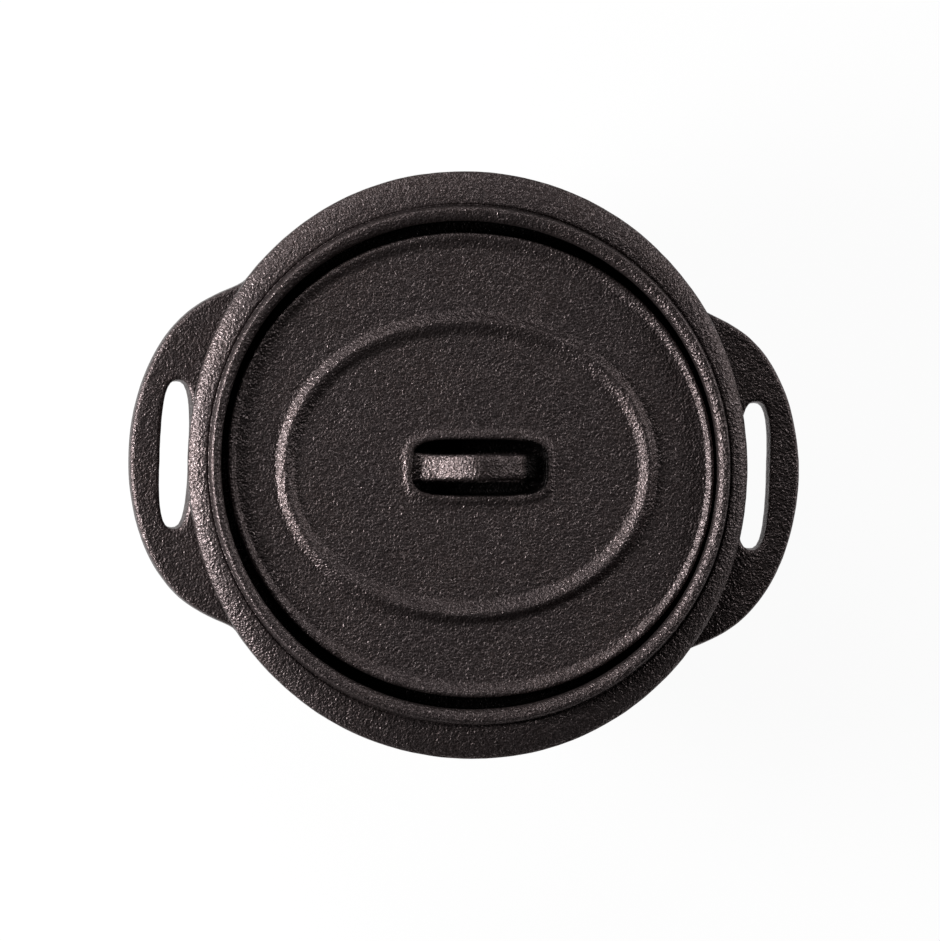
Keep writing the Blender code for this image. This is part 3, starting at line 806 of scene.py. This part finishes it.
lid_iron = make_iron("Lid iron", pocket_painted_shade)
lid_sweep = sweep("lid_sweep", draw_lid(), LID_STATIONS, lid_place, (0.0, 0.0, LID_TURN))
strap = build_strap()
combine(lid_sweep, strap, "UNION")
add_tree(lid_sweep, sand_cast_skin, {**SKIN, "Seed": LID_SEED, "Material": lid_iron})
lid_casting = plain_mesh("lid_casting", lid_sweep)
bpy.data.objects.remove(strap, do_unlink=True)
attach(lid_casting, "lid")
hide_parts("lid")


# The casserole stands on a plain white studio table, which fades to white in view and in gloss,
# and keeps a part of the pot's own shadow.
TABLE_HALF = 3.0
TABLE_WHITE = (0.90, 0.90, 0.90, 1.0)
TABLE_FADE = 0.95
RAYS = ("Is Camera Ray", "Is Glossy Ray", "Is Transmission Ray")


def make_table_white():
    """Matt white that is bright in view and in reflections, and mixes in a share of its shadow."""
    material = bpy.data.materials.new("Table white")
    material.use_nodes = True
    tree = material.node_tree
    tree.nodes.clear()
    leaving = tree.nodes.new("ShaderNodeOutputMaterial")
    matt = add_node(tree, "ShaderNodeBsdfDiffuse", None, {"Color": TABLE_WHITE})
    bright = add_node(tree, "ShaderNodeEmission", None, {"Color": (1.0, 1.0, 1.0, 1.0), "Strength": 1.0})
    seen, in_gloss, through_glass = (add_node(tree, "ShaderNodeLightPath", output=ray) for ray in RAYS)
    faded = (seen + in_gloss + through_glass).limited() * TABLE_FADE
    mixed = add_node(tree, "ShaderNodeMixShader", None, {0: faded, 1: matt, 2: bright})
    tree.links.new(mixed.output, leaving.inputs["Surface"])
    return material


bpy.ops.mesh.primitive_plane_add(size=2.0 * TABLE_HALF)
table = bpy.context.object
table.name = "table"
table.data.materials.append(make_table_white())


# Three softboxes light the iron in a dark room: a near, low one on the left, which makes the faces
# turned left shine, a higher one at the back, which lights the level faces, and a low one on the
# right. No light comes from the front. Each lamp's row is add_lamp's arguments in order.
ROOM_LIGHT = 0.001
AIM_HEIGHT = 0.0495
LAMPS = (
    ("key", 182.0, 21.0, 0.65, (0.25, 0.16), 9.5),
    ("back", 114.0, 37.0, 1.20, (0.60, 0.40), 5.3),
    ("fill", 22.0, 20.0, 1.20, (0.50, 0.40), 5.0),
)


def add_lamp(name, azimuth, elevation, distance, size, power):
    """A rectangular softbox at a bearing and a height angle in degrees, turned to the casserole."""
    light = bpy.data.lights.new(name, "AREA")
    light.shape = "RECTANGLE"
    light.size, light.size_y = size
    light.energy = power
    lamp = bpy.data.objects.new(name, light)
    towards = Vector((
        math.cos(math.radians(elevation)) * math.cos(math.radians(azimuth)),
        math.cos(math.radians(elevation)) * math.sin(math.radians(azimuth)),
        math.sin(math.radians(elevation)),
    ))
    lamp.location = Vector((0.0, 0.0, AIM_HEIGHT)) + towards * distance
    lamp.rotation_euler = towards.to_track_quat("Z", "Y").to_euler()
    bpy.context.scene.collection.objects.link(lamp)


for lamp_values in LAMPS:
    add_lamp(*lamp_values)
room = bpy.data.worlds.new("Room")
room.use_nodes = True
room.node_tree.nodes["Background"].inputs["Color"].default_value = (1.0, 1.0, 1.0, 1.0)
room.node_tree.nodes["Background"].inputs["Strength"].default_value = ROOM_LIGHT
bpy.context.scene.world = room


# The camera looks down from far off, leaning a little to the left, and the picture is rolled so
# that the lid looks level and the lugs don't.
CAMERA_DISTANCE = 7.0
CAMERA_LEAN = math.radians(9.6)
CAMERA_ROLL = math.radians(1.72)
CAMERA_REACH = 20.0
SENSOR_WIDTH = 36.0
PICTURE_SPAN = 0.282
PICTURE_PIXELS = 940.0
AIM_PIXEL = Vector((464.5, 465.0))
PICTURE_CENTRE = Vector((470.0, 470.5))


def add_camera():
    """The camera, placed so that the pot's middle falls on the photo's pixel."""
    camera = bpy.data.cameras.new("camera")
    camera.type = "PERSP"
    camera.sensor_width = SENSOR_WIDTH
    camera.lens = SENSOR_WIDTH * CAMERA_DISTANCE / PICTURE_SPAN
    camera.clip_end = CAMERA_REACH
    eye = bpy.data.objects.new("camera", camera)
    bpy.context.scene.collection.objects.link(eye)
    away = Vector((-math.sin(CAMERA_LEAN), 0.0, math.cos(CAMERA_LEAN)))
    right = Vector((math.cos(CAMERA_LEAN), 0.0, math.sin(CAMERA_LEAN)))
    up = Vector((0.0, 1.0, 0.0))
    rolled_right = right * math.cos(CAMERA_ROLL) + up * math.sin(CAMERA_ROLL)
    rolled_up = up * math.cos(CAMERA_ROLL) - right * math.sin(CAMERA_ROLL)
    shift = (PICTURE_CENTRE - AIM_PIXEL) * PICTURE_SPAN / PICTURE_PIXELS
    target = Vector((0.0, 0.0, AIM_HEIGHT)) + rolled_right * shift.x - rolled_up * shift.y
    eye.location = target + away * CAMERA_DISTANCE
    eye.rotation_euler = Matrix((rolled_right, rolled_up, away)).transposed().to_euler()
    bpy.context.scene.camera = eye


add_camera()
bpy.context.scene.view_settings.view_transform = "Standard"
